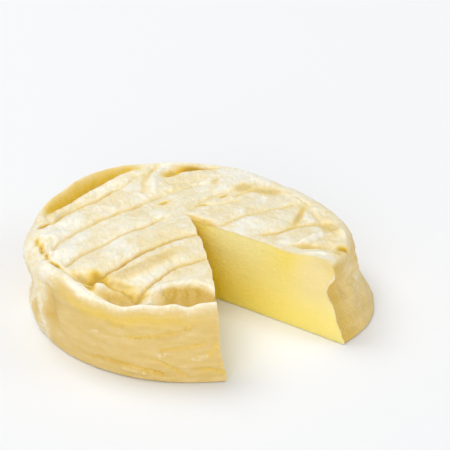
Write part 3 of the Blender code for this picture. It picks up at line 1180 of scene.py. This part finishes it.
@dataclass(frozen=True)
class TopToning:
    """Where the top, its lip and its shoulder are golden, dark, white or washed yellow.

    The golden lip is the inner face of the lip at the back, golden and in painted shade that
    deepens towards the crease, bleached the pale shoulder at the left, the painted highlight the
    white along the crest of the lip in front, and the painted shade by the end the darkened
    shoulder at the outer end of the right-hand cut.
    """

    lip_gold_and_shade: Stretch = Stretch(112.0, 10.0, 172.0, 8.0)
    lip_inside: Ease = Ease(-0.6, 1.2)
    lip_outside: Ease = Ease(1.6, -2.0)
    lip_low_gold: float = 0.4
    lip_gold_rise: float = 1.3
    lip_shade: float = 0.4
    crease_shade: float = 0.6
    crease_full: float = 2.0
    crease_lit: float = 0.4
    laid_inside: float = 0.5
    side_from: Ease = Ease(0.4, 0.6)
    bleached: Stretch = Stretch(170.0, 8.0, 222.0, 12.0)
    bleached_side: float = 0.85
    bleached_bloom: float = 0.6
    painted_highlight: Stretch = Stretch(204.0, 30.0, 281.0, 8.0)
    painted_highlight_crest: Spot = Spot(0.6, 2.2)
    painted_highlight_side: float = 0.8
    painted_highlight_bloom: float = 0.9
    patches: Crumple = Crumple(17, 0.6, (8.0, 13.0, 9.0))
    bloom_level: float = 0.48
    whiter: Stretch = Stretch(95.0, 25.0, 230.0, 30.0, 0.1)
    barer: Spot = Spot(0.0, 26.0, 0.35)
    barer_out: Ease = Ease(48.0, 8.0)
    bloom_on_hills: float = 0.25
    eased_spread: float = 1.4
    eased_gold: float = 0.7
    eased_shade: float = 0.5
    painted_shade_by_end: Spot = Spot(328.0, 6.0, 0.45)
    painted_shade_out: Ease = Ease(0.0, 2.0)

    def bloom(self, form: TopForm) -> Grid:
        """The bloom of the plateau: uneven patches, whiter on hills and thinner by the cut.

        Args:
            form: The shaped top.

        Returns:
            How much bloom each point has, from 0 to 1.
        """
        barer = self.barer.share(wrapped(form.around)) * self.barer_out.share(form.distance)
        bloom = self.bloom_level + self.patches.at(form.points) + self.whiter.share(form.around)
        bloom = bloom - barer + self.bloom_on_hills * form.relief + form.laid[Mask.BLOOM]
        return np.clip(bloom, 0.0, 1.0)

    def masks(self, form: TopForm) -> Masks:
        """The whole colouring of the top.

        Args:
            form: The shaped top.

        Returns:
            The masks of its points.
        """
        past_crest = form.distance - form.crest_at
        # The lip's inner face at the back: gold that deepens towards the crease, with painted shade on
        # it.
        golden = self.lip_gold_and_shade.share(form.around)
        within = smooth(form.edge - self.laid_inside - form.distance)
        lip_rise = smooth(self.lip_gold_rise * -past_crest / form.section["crease"])
        lip = golden * self.lip_inside.share(form.distance - form.crease_at)
        lip = lip * self.lip_outside.share(past_crest)
        lip = lip * (self.lip_low_gold + (1.0 - self.lip_low_gold) * lip_rise)
        crease = self.crease_shade * form.crease * smooth(form.section["depth"] / self.crease_full)
        crease = crease * (1.0 - self.crease_lit * golden)

        bleached = self.bleached.share(form.around)
        # A painted highlight along the crest of the front lip, in bloom's colour.
        crest = self.painted_highlight.share(form.around) * self.painted_highlight_crest.share(past_crest)
        side = self.side_from.share(past_crest / form.section["inset"])
        side = side * (1.0 - self.bleached_side * bleached) * (1.0 - self.painted_highlight_side * crest)
        bloom = most(self.bloom(form), self.bleached_bloom * bleached) * (1.0 - side)
        bloom = bloom * (1.0 - crest) + self.painted_highlight_bloom * crest

        eased = smooth(self.eased_spread * form.eased)
        # Painted shade, in gold, on the shoulder by the outer end of the right-hand cut.
        spot = self.painted_shade_by_end.share(form.around) * self.painted_shade_out.share(past_crest)
        # Painted shade, in gold, under the front lip.
        band = side * under_lip_shade(form.around, form.section["crest"] - form.points[..., 2])
        gold = most(lip, band, self.eased_gold * eased, form.laid[Mask.GOLD] * within)
        hollow = most(self.lip_shade * lip**2, crease, self.eased_shade * eased)
        hollow = most(hollow, form.laid[Mask.HOLLOW] * within)
        bloom = bloom * (1.0 - spot)
        return {
            Mask.GOLD: most(gold, spot),
            Mask.HOLLOW: most(hollow, spot),
            Mask.BLOOM: bloom,
            Mask.SIDE: side,
        }


@dataclass(frozen=True)
class WallToning:
    """Where the wall is pale with bloom at the left, painted paler as if lit at the right, scuffed,
    golden, and shaded.
    """

    pale_left: Stretch = Stretch(176.0, 10.0, 214.0, 5.0)
    painted_light_right: Spot = Spot(348.0, 9.0, 0.8)
    painted_light_right_up: Ease = Ease(6.0, 10.0)
    patches: Crumple = Crumple(47, 0.9, (5.0, 5.0, 5.0))
    patch_level: float = 0.75
    pale_bloom: float = 0.6
    pale_side: float = 0.7
    scuff_bloom: float = 0.65
    trough_shade: Spot = Spot(215.0, 3.5, 0.35)
    trough_shade_up: Stretch = Stretch(6.0, 6.0, 22.0, 4.0)
    painted_shade_by_end: Spot = Spot(327.0, 6.0, 0.4)

    def masks(self, points: Grid, around: Grid, below_crest: Grid, relief: WallRelief) -> Masks:
        """The whole colouring of the wall.

        Args:
            points: The wall's points.
            around: Their bearings from the middle, from 0 to 360.
            below_crest: How far each lies below the lip's crest.
            relief: The wall's folds.

        Returns:
            The masks of the points.
        """
        level = points[..., 2]
        # Painted light: the right-hand wall is painted paler, with bloom, as if lit.
        right = self.painted_light_right.share(around) * self.painted_light_right_up.share(level)
        patches = np.clip(self.patch_level + self.patches.at(points), 0.0, 1.0)
        pale = most(self.pale_left.share(around), right) * patches
        scuffed, creased = relief.worn(around, level)
        # Painted shade in a trough of the wall at the left.
        trough_shade = self.trough_shade.share(around) * self.trough_shade_up.share(level)
        # Painted shade, in gold, on the wall by the outer end of the right-hand cut.
        spot = self.painted_shade_by_end.share(around)
        return {
            Mask.GOLD: most(under_lip_shade(around, below_crest), creased, spot),
            Mask.HOLLOW: most(trough_shade, spot),
            Mask.BLOOM: most(self.pale_bloom * pale, self.scuff_bloom * scuffed),
            Mask.SIDE: 1.0 - self.pale_side * pale,
        }


@dataclass(frozen=True)
class CutToning:
    """Where a cut is rind, pale paste or paste in painted shade.

    Shares run along the cut from the tip, 0, to its outer end, 1, and down it from the rind,
    0, to the board, 1. The paste gets painted shade, a deeper yellow, towards the board, low and
    high at the tip, and high up in the outer half, but less where it has faded at the outer end.
    """

    rind_thickness: float = 1.1
    rind_bloom: float = 0.6
    rind_side: float = 0.5
    shade_down: float = 1.1
    shade_at_tip: float = 0.85
    shade_outwards: float = -0.45
    low_tip: float = 0.7
    low_tip_out: float = 3.6
    low_tip_down: float = 2.2
    high_tip: float = 0.7
    high_tip_out: float = 4.5
    high_end: Ease = Ease(0.35, 0.3, 0.66)
    high_down: float = 1.6
    faded_out: Ease = Ease(45.0, 14.0)
    faded_up: Ease = Ease(8.0, 13.0)
    faded_paste: float = 0.5
    faded_shade: float = 0.85

    def masks(self, out: Grid, below: Grid, inside: Grid, faded: Grid) -> Masks:
        """The whole colouring of a cut.

        Args:
            out: How far out along the cut each row lies, from 0 to 1.
            below: How far each point lies below the top.
            inside: How far each point lies inside the wall.
            faded: How much the paste has dried to a paler colour at each point.

        Returns:
            The masks of its points.
        """
        paste = smooth(np.minimum(below, inside) / self.rind_thickness)
        paste[0] = smooth(below[0] / self.rind_thickness)
        down = below / PLATEAU
        low_tip = self.low_tip * smooth(1.0 - out * self.low_tip_out) * smooth(self.low_tip_down * down)
        high = self.high_end.share(out) + self.high_tip * smooth(1.0 - out * self.high_tip_out)
        # Painted shade on the paste: towards the board, low and high at the tip, and high up in the
        # outer half.
        deep = smooth(self.shade_down * down) * (self.shade_at_tip + self.shade_outwards * out)
        deep = deep + low_tip + high * (1.0 - smooth(self.high_down * down))
        return {
            Mask.BLOOM: self.rind_bloom * (1.0 - paste),
            Mask.SIDE: np.full_like(paste, self.rind_side),
            Mask.PASTE: paste * (1.0 - self.faded_paste * faded),
            Mask.DEEP: np.clip(deep * (1.0 - self.faded_shade * faded), 0.0, 1.0),
        }


# ---------------------------------------------------------------------------- the wheel


def placed(name: str, data: bpy.types.ID) -> bpy.types.Object:
    """Makes an object at the origin and puts it in the scene.

    Args:
        name: The object's name.
        data: Its mesh, lamp or camera.

    Returns:
        The object.
    """
    made = bpy.data.objects.new(name, data)
    bpy.context.scene.collection.objects.link(made)
    return made


@dataclass
class Skin:
    """A grid of points with their masks."""

    points: Grid
    masks: Masks

    def part(self, rows: slice, columns: slice | int) -> Skin:
        """The points and masks of some rows and columns."""
        masks = {mask: values[rows, columns] for mask, values in self.masks.items()}
        return Skin(self.points[rows, columns], masks)


@dataclass
class CheeseWheel:
    """The wheel's skin: its sizes, its grids and the mesh that they are sewn into."""

    first_cut: float = -39.03
    last_cut: float = 278.79
    in_notch: float = -60.0
    middle: Triple = (-0.58, -0.53, 0.0)
    foot_round: float = 0.6
    sink_width: float = 34.0
    crease_inner: float = 0.4
    crease_outer: float = 0.6
    lip_radius: float = 60.0
    lip_waves: Crumple = Crumple(31, 0.35, (8.0, 8.0, 8.0))
    lip_rough: Spot = Spot(204.0, 15.0)
    lip_rougher: float = 1.2
    lip_lumps: tuple[Spot, ...] = LIP_LUMPS
    spill: float = 4.5
    slumped_left: Spot = Spot(192.0, 16.0)
    slumped_right: Spot = Spot(-14.0, 26.0)
    relief_end: Ease = Ease(1.6, -3.6)
    eased_fall: float = 1.3
    eased_half: float = 1.9
    eased_out: Ease = Ease(17.0, -10.0)
    eased_round: Ease = Ease(160.0, -60.0)
    wall_calm: float = 1.5
    sharp_from: float = 48.0
    turns: int = 560
    lip_run: float = 4.0
    plateau_rows: int = 78
    lip_rows: int = 24
    shoulder_rows: int = 9
    wall_rows: int = 36
    foot_rows: int = 4
    sewn_digits: int = 5
    outline: Outline = field(default_factory=Outline)
    top_relief: TopRelief = field(default_factory=TopRelief)
    wall_relief: WallRelief = field(default_factory=WallRelief)
    cut_relief: CutRelief = field(default_factory=CutRelief)
    top_toning: TopToning = field(default_factory=TopToning)
    wall_toning: WallToning = field(default_factory=WallToning)
    cut_toning: CutToning = field(default_factory=CutToning)
    finish: CheeseFinish = field(default_factory=CheeseFinish)

    def uneven_lip(self, around: Grid) -> Grid:
        """How much higher the uneven lip stands than its plain crest.

        Args:
            around: Bearings from the middle.

        Returns:
            The rise at each bearing.
        """
        arc = np.radians(around) * self.lip_radius
        waves = self.lip_waves.at(np.stack([arc, np.zeros_like(arc), np.zeros_like(arc)], axis=-1))
        waves = waves * (1.0 + self.lip_rougher * self.lip_rough.share(np.mod(around, 360.0)))
        return waves + sum(lump.share(around) for lump in self.lip_lumps)

    def top_form(self, bearings: Grid) -> TopForm:
        """Shapes the top, from the wedge's tip over plateau, crease and lip to the shoulder.

        The plateau sinks towards the rim, the crease is a bell cut into it, an S lifts it to
        the crest, and the shoulder is a quarter of an ellipse. The relief ends past the crest,
        further out where the shoulder has slumped.

        Args:
            bearings: Bearings from the wedge's tip.

        Returns:
            The top, with a row for each distance and a column for each bearing.
        """
        rim, around = self.outline.reach("rim", bearings)
        names = ("crest", "inset", "drop", "crease", "depth", "sink")
        section = {name: self.outline.value(name, around) for name in names}
        section["crest"] = section["crest"] + self.uneven_lip(around)
        crest_at = rim - section["inset"]
        crease_at = crest_at - section["crease"]
        lip_start = crease_at - self.lip_run
        plateau = np.linspace(0.0, 1.0, self.plateau_rows)[:-1, None] * lip_start
        lip_share = np.linspace(0.0, 1.0, self.lip_rows)[:-1, None]
        lip = lip_start + lip_share * (crest_at - lip_start)
        turn = np.linspace(0.0, math.pi / 2, self.shoulder_rows)[:, None]
        distance = np.concatenate([plateau, lip, crest_at + section["inset"] * np.sin(turn)])

        sinking = smooth(1.0 - (crease_at - distance) / self.sink_width) ** 2
        crease_half = np.where(distance < crease_at, self.crease_inner, self.crease_outer)
        crease = bump((distance - crease_at) / (crease_half * section["crease"]))
        rising = smooth((distance - crease_at) / section["crease"])
        level = (PLATEAU - section["sink"] * sinking - section["depth"] * crease) * (1.0 - rising)
        level = level + section["crest"] * rising

        x, y = self.outline.laid_out(distance, bearings)
        relief, laid = self.top_relief.laid_on(np.stack([x, y, level], axis=-1))
        slumped = most(self.slumped_left.share(around), self.slumped_right.share(wrapped(around)))
        edge = crest_at + self.spill * slumped
        level = level + relief * self.relief_end.share(distance - edge)
        eased = bump(off_plane(distance, bearings - self.first_cut) / self.eased_half)
        eased = eased * self.eased_out.share(distance) * self.eased_round.share(bearings)
        level = level - self.eased_fall * eased
        level[-self.shoulder_rows :] -= section["drop"] * (1.0 - np.cos(turn))
        level[0] = level[0].mean()
        return TopForm(
            points=np.stack([x, y, level], axis=-1),
            around=np.mod(around, 360.0),
            section=section,
            distance=distance,
            crest_at=crest_at,
            crease_at=crease_at,
            edge=edge,
            crease=crease,
            eased=eased,
            relief=relief,
            laid=laid,
        )

    def wall(self, bearings: Grid, brow: Grid) -> Skin:
        """The wall, a straight run from rim to foot with half a wave of belly, and its foot.

        Args:
            bearings: Bearings from the wedge's tip.
            brow: The height at which the wall starts, at each bearing.

        Returns:
            The skin, with a row for each height and a column for each bearing.
        """
        rim, around = self.outline.reach("rim", bearings)
        foot = self.outline.reach("foot", bearings)[0]
        belly = self.outline.value("belly", around)
        share = np.linspace(0.0, 1.0, self.wall_rows)[:, None]
        distance = rim + (foot - rim) * share + belly * np.sin(math.pi * share)
        level = brow + share * (self.foot_round - brow)
        turn = np.linspace(0.0, math.pi / 2, self.foot_rows + 1)[1:, None]
        distance = np.concatenate([distance, foot - self.foot_round * (1.0 - np.cos(turn))])
        under = self.foot_round * (1.0 - np.sin(turn)) * np.ones_like(brow)
        level = np.concatenate([level, under])
        points = np.stack([*self.outline.laid_out(distance, bearings), level], axis=-1)
        below_crest = brow + self.outline.value("drop", around) - level
        around = np.mod(around, 360.0) * np.ones_like(level)
        return Skin(points, self.wall_toning.masks(points, around, below_crest, self.wall_relief))

    def roughen(self, skin: Skin, top_rows: int) -> None:
        """Moves the skin's wall along its outward direction by the wall's relief.

        The outward direction is square to the steps down and round the grid.

        Args:
            skin: The top and the wall together.
            top_rows: How many rows belong to the top.
        """
        outward = np.cross(np.gradient(skin.points, axis=0), np.gradient(skin.points, axis=1))
        outward = outward / np.maximum(np.linalg.norm(outward, axis=-1, keepdims=True), TINY)
        x, y, level = np.moveaxis(skin.points, -1, 0)
        around = np.degrees(np.arctan2(y, x)) % 360.0
        rows = np.arange(len(skin.points))[:, None]
        share = smooth((rows - top_rows + self.shoulder_rows) / self.shoulder_rows)
        moved = self.wall_relief.outward(around, level) * share * smooth(level / self.wall_calm)
        skin.points += outward * moved[..., None]

    def pushed(self, points: Grid) -> Grid:
        """Moves the paste by both cuts out into the notch, fading round the wheel.

        Args:
            points: Any points of the wheel.

        Returns:
            The moved points.
        """
        distance = self.outline.away(points)
        x, y = points[..., 0] - self.outline.tip[0], points[..., 1] - self.outline.tip[1]
        bearings = np.mod(np.degrees(np.arctan2(y, x)) - self.in_notch, 360.0) + self.in_notch
        level = points[..., 2]
        last = self.cut_relief.last(distance, level, self.last_cut - bearings)
        first = self.cut_relief.first(distance, level, bearings - self.first_cut)
        moved = points.copy()
        for out, facing in ((last, self.last_cut + 90.0), (first, self.first_cut - 90.0)):
            moved[..., 0] += out * math.cos(math.radians(facing))
            moved[..., 1] += out * math.sin(math.radians(facing))
        return moved

    def cut(self, top: Skin, wall: Skin, right: float) -> Skin:
        """One cut, blended between its four edges.

        Each point is the blend of the two level edges, plus the blend of the two upright
        ones, less the blend of the four corners.

        Args:
            top: The top's end column.
            wall: The wall's end column.
            right: 1 for the right-hand cut, 0 for the left-hand one.

        Returns:
            The skin, with a row for each step out from the tip and a column for each step down.
        """
        out = np.linspace(0.0, 1.0, len(top.points))[:, None, None]
        down = np.linspace(0.0, 1.0, len(wall.points))[None, :, None]
        tip_low = np.array([*self.outline.tip, 0.0])
        reached = self.outline.away(top.points)
        under = tip_low + (reached / reached[-1])[:, None] * (wall.points[-1] - tip_low)
        tip = top.points[0] + down[0] * (tip_low - top.points[0])
        sides = (1.0 - down) * top.points[:, None] + down * under[:, None]
        ends = (1.0 - out) * tip[None] + out * wall.points[None]
        inner = (1.0 - down) * top.points[0] + down * tip_low
        outer = (1.0 - down) * top.points[-1] + down * wall.points[-1]
        points = sides + ends - (1.0 - out) * inner - out * outer
        points[:, 0], points[:, -1] = top.points, under
        points[0], points[-1] = tip, wall.points

        below = top.points[:, None, 2] - points[..., 2]
        inwards = wall.points[None, :, :2] - points[..., :2]
        faded = right * self.cut_toning.faded_out.share(self.outline.away(points))
        faded = faded * self.cut_toning.faded_up.share(points[..., 2])
        inside = np.hypot(inwards[..., 0], inwards[..., 1])
        return Skin(points, self.cut_toning.masks(out[..., 0], below, inside, faded))

    def sewn(self, skins: list[tuple[Skin, bool]]) -> bpy.types.Mesh:
        """Sews the grids into one closed mesh and lays their masks on it.

        Points of two grids that lie on one spot become one point, and the underside is one
        flat face round their lowest edges.

        Args:
            skins: The rind's grid and the two cuts, and whether each one's faces are turned over.

        Returns:
            The mesh.
        """
        faces, start = [], 0
        for skin, turned in skins:
            rows, columns = skin.points.shape[:2]
            number = start + np.arange(rows * columns).reshape(rows, columns)
            corners = [number[:-1, :-1], number[1:, :-1], number[1:, 1:], number[:-1, 1:]]
            quads = np.stack(corners, axis=-1).reshape(-1, 4)
            faces.append(quads[:, ::-1] if turned else quads)
            start += rows * columns
        every = np.concatenate([skin.points.reshape(-1, 3) for skin, _ in skins])
        spots = np.round(every, self.sewn_digits)
        _, kept, same = np.unique(spots, axis=0, return_index=True, return_inverse=True)
        same = same.reshape(-1)
        polygons = [list(dict.fromkeys(quad)) for quad in same[np.concatenate(faces)].tolist()]
        polygons = [polygon for polygon in polygons if len(polygon) > 2]
        polygons.append(self.underside([skin for skin, _ in skins], same))

        mesh = bpy.data.meshes.new("cheese_skin")
        positions = (every[kept] - np.array(self.middle)) * MM
        mesh.from_pydata(positions.tolist(), [], polygons)
        for mask in Mask:
            grids = [skin.masks.get(mask, np.zeros(skin.points.shape[:2])) for skin, _ in skins]
            values = np.concatenate([grid.reshape(-1) for grid in grids])
            layer = mesh.attributes.new(mask.value, "FLOAT", "POINT")
            layer.data.foreach_set("value", values[kept].astype(np.float32))
        return mesh

    def underside(self, skins: list[Skin], same: Grid) -> list[int]:
        """The points round the flat underside, clockwise as seen from above.

        Args:
            skins: The rind's grid, then the two cuts.
            same: The sewn number of every point.

        Returns:
            The numbers of the points, each once.
        """
        (rows, columns), (first_rows, first_columns), (last_rows, last_columns) = (
            skin.points.shape[:2] for skin in skins
        )
        first_start = rows * columns
        last_start = first_start + first_rows * first_columns
        round_foot = first_start - columns + np.arange(columns)
        inwards = last_start + np.arange(last_rows, 0, -1) * last_columns - 1
        outwards = first_start + np.arange(1, first_rows + 1) * first_columns - 1
        loop = same[np.concatenate([round_foot, inwards, outwards])]
        return list(dict.fromkeys(loop.tolist()))[::-1]

    def build(self, low: Grid, high: Grid) -> bpy.types.Object:
        """Makes the wheel's object.

        Args:
            low: The lowest corner that the wheel may reach, in metres.
            high: The highest corner that it may reach.

        Returns:
            The object.
        """
        bearings = np.linspace(self.first_cut, self.last_cut, self.turns + 1)
        form = self.top_form(bearings)
        top = Skin(form.points, self.top_toning.masks(form))
        wall = self.wall(bearings, top.points[-1, :, 2])
        top_rows = len(top.points)
        masks = {mask: np.concatenate([top.masks[mask], wall.masks[mask][1:]]) for mask in top.masks}
        rind = Skin(np.concatenate([top.points, wall.points[1:]]), masks)
        self.roughen(rind, top_rows)
        first, last = (
            self.cut(
                rind.part(slice(None, top_rows), column),
                rind.part(slice(top_rows - 1, None), column),
                right,
            )
            for column, right in ((0, 1.0), (-1, 0.0))
        )
        corners = np.array([low, high]) / MM + np.array(self.middle)
        for skin in (rind, first, last):
            skin.points = np.clip(self.pushed(skin.points), corners[0], corners[1])
        mesh = self.sewn([(rind, False), (first, True), (last, False)])
        mesh.materials.append(self.finish.material())
        mesh.shade_smooth()
        mesh.set_sharp_from_angle(angle=math.radians(self.sharp_from))
        return placed("cheese_skin", mesh)


# ---------------------------------------------------------------------------- the studio


@dataclass(frozen=True)
class Softbox:
    """A square lamp that faces the wheel: its place and side in metres, its power in watts."""

    name: str
    at: Triple
    side: float
    power: float

    def hang(self) -> None:
        """Hangs the lamp and turns it to the wheel."""
        lamp = bpy.data.lights.new(self.name, "AREA")
        lamp.shape = "SQUARE"
        lamp.size = self.side
        lamp.energy = self.power
        lit = placed(self.name, lamp)
        lit.location = self.at
        pitch = math.acos(self.at[2] / math.hypot(*self.at))
        lit.rotation_euler = (pitch, 0.0, math.atan2(self.at[1], self.at[0]) + math.pi / 2)


@dataclass
class Studio:
    """The board, the soft lights and the camera, in metres."""

    board_half: float = 3.0
    board_drop: float = 0.0002
    eye: Triple = (0.00917, -0.60021, 0.31025)
    look_down: float = 24.947
    lens: float = 142.0
    sensor: float = 36.0
    sky: float = 0.352
    softboxes: tuple[Softbox, ...] = (
        Softbox("overhead", (-1.35, 1.10, 3.30), 2.7, 81.0),
        Softbox("front_fill", (-0.80, -4.20, 2.10), 3.8, 114.0),
        Softbox("side_fill", (3.60, -0.40, 1.50), 2.6, 36.0),
    )
    board_finish: BoardFinish = field(default_factory=BoardFinish)

    def board(self) -> bpy.types.Object:
        """Lays the board just under the cheese.

        Returns:
            The board's object.
        """
        side = self.board_half
        corners = [(-side, -side), (side, -side), (side, side), (-side, side)]
        mesh = bpy.data.meshes.new("board")
        mesh.from_pydata([(x, y, -self.board_drop) for x, y in corners], [], [(0, 1, 2, 3)])
        mesh.materials.append(self.board_finish.material())
        return placed("board", mesh)

    def camera(self) -> None:
        """Stands the camera in front, looking down on the wheel."""
        lens = bpy.data.cameras.new("camera")
        lens.lens = self.lens
        lens.sensor_width = self.sensor
        camera = placed("camera", lens)
        camera.location = self.eye
        camera.rotation_euler = (math.radians(90.0 - self.look_down), 0.0, 0.0)
        bpy.context.scene.camera = camera

    def light(self) -> None:
        """Sets the even room light and hangs the lamps."""
        world = bpy.data.worlds.new("studio")
        world.use_nodes = True
        background = world.node_tree.nodes["Background"]
        background.inputs["Color"].default_value = (1.0, 1.0, 1.0, 1.0)
        background.inputs["Strength"].default_value = self.sky
        bpy.context.scene.world = world
        for softbox in self.softboxes:
            softbox.hang()


def main() -> None:
    """Builds the wheel, dresses it, and sets the studio round it."""
    logging.basicConfig(level=logging.INFO, format="%(message)s")
    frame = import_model()
    solid_low, solid_high = (np.array(corner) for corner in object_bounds())
    LOG.info("frame: %d nodes", len(frame["nodes"]))

    studio = Studio()
    studio.camera()
    studio.light()
    studio.board()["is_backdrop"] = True
    LOG.info("studio: camera, lamps and board")

    wheel = CheeseWheel().build(solid_low, solid_high)
    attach(wheel, "root")
    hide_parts("cheese_wheel")
    LOG.info("%s: %d faces", wheel.name, len(wheel.data.polygons))

    bpy.context.scene.view_settings.view_transform = "Standard"


if __name__ == "__main__":
    main()
